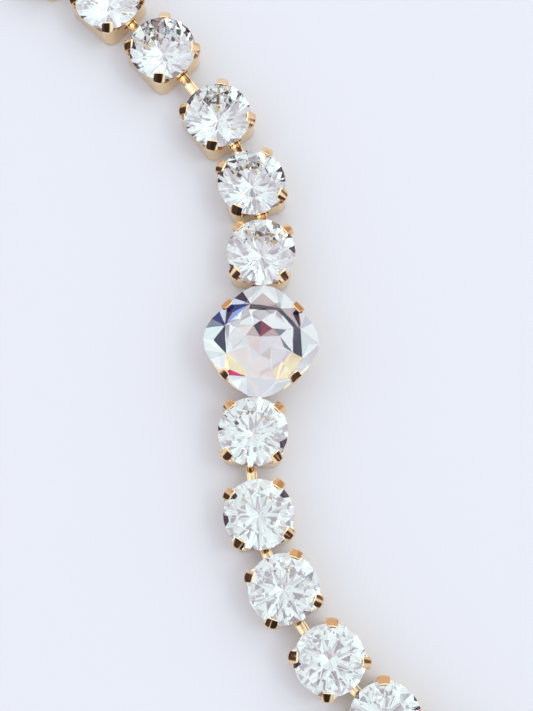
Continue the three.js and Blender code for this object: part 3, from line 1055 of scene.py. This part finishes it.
# Flat eye round the origin: a ring whose section fills the width between its hole and its rim
def flatEye(shape, steps=72, sections=20):
    ways = circleAt(np.arange(steps) * 2 * math.pi / steps)
    reach = (shape["eyeRadius"] + shape["eyeHole"]) / 2
    half = (shape["eyeRadius"] - shape["eyeHole"]) / 2
    high = shape["eyeThick"] / 2
    points = ovalRing(ways * reach, np.full(steps, half), np.full(steps, high), ways,
                      shape["eyeSquareness"], sections)
    return points, gridFaces(steps, sections, closeRows=True)


# Shells in one list of points, each shell's faces shifted past the points before it
def joined(shells):
    points = np.concatenate([shell[0] for shell in shells])
    shift = np.cumsum([0] + [len(shell[0]) for shell in shells[:-1]])
    return points, [faces + move for shell, move in zip(shells, shift) for faces in shell[1:]]


# One skin over overlapping shells
def meltTogether(piece, voxel):
    skin = piece.modifiers.new("oneSkin", "REMESH")
    skin.mode = "VOXEL"
    skin.voxel_size = voxel * mm
    skin.use_smooth_shade = True
    soft = piece.modifiers.new("polish", "SMOOTH")
    soft.factor = 0.5
    soft.iterations = 4


def makeEndLink(node, shape, strip, at, turn):
    # the far hook, its bend and its end, is left off, because the bar runs into the eye there
    route = linkRoute(strip, shape["from"], shape["barTo"])[:-bendSteps - 1]
    bar = carried(stripProfile(strip), route)
    eye, eyeFaces = flatEye(shape)
    eye = eye + [shape["eyeAt"], 0, strip["lowZ"] + strip["thick"] / 2]
    points, faceSets = joined([bar, (eye, eyeFaces)])
    piece = makeFitting(node, "eye", placed(points, at, turn), faceSets)
    meltTogether(piece, shape["voxel"])


# Wire ring leaning on the surface: round wire carried round a circle, which is then turned about
# the strand's direction. A cut leaves two flat ends; a swell thickens the wire at its solder.
def makeRing(node, shape, turn, steps=72, sections=24):
    gap = shape["cut"] / shape["radius"]
    seam = math.radians(shape["seamAt"])
    angle = np.linspace(gap / 2, 2 * math.pi - gap / 2, steps, endpoint=gap > 0) + seam
    fromSeam = np.abs((angle - seam + math.pi) % (2 * math.pi) - math.pi)
    wire = shape["wire"] * (1 + shape["swell"] * np.exp(-(fromSeam / swellHalf) ** 2))
    ways = circleAt(angle)
    points = ovalRing(ways * shape["radius"], wire, wire, ways, 2.0, sections)
    lean = math.radians(shape["lean"])
    x, y, z = points.T
    at = nodeMiddle(node)
    points = np.stack([x, y * math.cos(lean) - z * math.sin(lean),
                       y * math.sin(lean) + z * math.cos(lean) + at[2]], axis=1)
    faceSets = [gridFaces(steps, sections, closeRows=gap == 0)]
    if gap:
        faceSets.append(endFaces(steps, sections))
    piece = makeFitting(node, "wire", placed(points, at, turn), faceSets)
    crisp(piece, sharpFrom["ring"])


# Rounded block: a superellipsoid of half sizes round a middle point, closed by a small flat face at
# the top and bottom
def roundedBlock(middle, half, squareness, rows=22, columns=36):
    rise = np.linspace(-math.pi / 2, math.pi / 2, rows + 2)[1:-1, None]
    turn = np.arange(columns)[None, :] * 2 * math.pi / columns
    x = squared(np.cos(rise), squareness) * squared(np.cos(turn), squareness) * half[0] + middle[0]
    y = squared(np.cos(rise), squareness) * squared(np.sin(turn), squareness) * half[1] + middle[1]
    return tube(x, y, squared(np.sin(rise), squareness) * half[2] + middle[2])


# Where a leaning ring's wire passes a height: along the strand from its centre, and aside
def wireAt(shape, z):
    lean = math.radians(shape["lean"])
    rise = (z - shape["wire"]) / (shape["radius"] * math.sin(lean)) - 1
    return shape["radius"] * math.sqrt(1 - rise * rise), shape["radius"] * rise * math.cos(lean)


# The clasp's neck: ovals of changing size, from the eye to the body
def claspNeck(shape, rows=12, columns=24):
    t = np.linspace(0, 1, rows)
    x = shape["neckFrom"] + (shape["neckTo"] - shape["neckFrom"]) * t
    half, high = (np.interp(t, [0, 0.5, 1], sizes)[:, None] for sizes in zip(*shape["neckHalf"]))
    angle = np.arange(columns)[None, :] * 2 * math.pi / columns
    return tube(x[:, None], half * np.cos(angle), high * np.sin(angle) + shape["thick"] / 2)


# Clasp: an oval body round its hooking hole, with a gate seam on each side, then neck, eye, lever
def makeClasp(node, shape, at, turn, steps=180, sections=32):
    angle = np.arange(steps) * 2 * math.pi / steps
    ways = circleAt(angle)
    outer = np.array(shape["bodyAt"]) + ways * shape["bodyHalf"]
    inner = np.array(shape["holeAt"]) + ways * shape["holeHalf"]
    seams = sum(np.exp(-((angle - gate) / shape["gateWidth"]) ** 2) for gate in shape["gates"])
    slim = 1 - shape["gateDepth"] * seams
    span = outer - inner
    width = np.linalg.norm(span, axis=1)
    body = ovalRing((outer + inner) / 2, width / 2 * slim, shape["thick"] / 2 * slim,
                    span / width[:, None], shape["squareness"], sections)
    body = body + [0, 0, shape["thick"] / 2]
    eye, eyeFaces = flatEye(shape)
    eye = eye + [0, 0, shape["eyeZ"]]
    lever = roundedBlock((*shape["leverAt"], shape["thick"] / 2), shape["leverHalf"],
                         shape["leverSquareness"])
    points, faceSets = joined([
        (body, gridFaces(steps, sections, closeRows=True)),
        (eye, eyeFaces),
        claspNeck(shape),
        lever,
    ])
    piece = makeFitting(node, "lobster", placed(points, at, turn), faceSets)
    meltTogether(piece, shape["voxel"])


def stepFrom(point, distance, degrees):
    angle = math.radians(degrees)
    return point[0] + distance * math.cos(angle), point[1] + distance * math.sin(angle)


for side, turns in cupTurns.items():
    before = centre
    for number in range(1, len(turns) + 1):
        at = nodeMiddle(f"setting_{side}_{number}")
        way = math.degrees(math.atan2(at[1] - before[1], at[0] - before[0]))
        makeLink(f"link_{side}_{number}", stripLink, way)
        before = at
    makeEndLink(f"end_link_{side}", endLink, stripLink, before, turns[-1])

leftTurn, rightTurn = cupTurns["left"][-1], cupTurns["right"][-1]
makeRing("jump_ring", jumpRing, leftTurn)
makeRing("catch_ring", catchRing, rightTurn)
ahead, aside = wireAt(jumpRing, claspShape["eyeZ"])
claspPlace = stepFrom(stepFrom(nodeMiddle("jump_ring"), ahead, leftTurn), aside, leftTurn + 90)
makeClasp("clasp", claspShape, claspPlace, leftTurn)
print("links, rings and clasp made")

cycles = bpy.context.scene.cycles
cycles.max_bounces = 24
cycles.glossy_bounces = 16
cycles.transmission_bounces = 16
bpy.context.scene.view_settings.view_transform = "Standard"
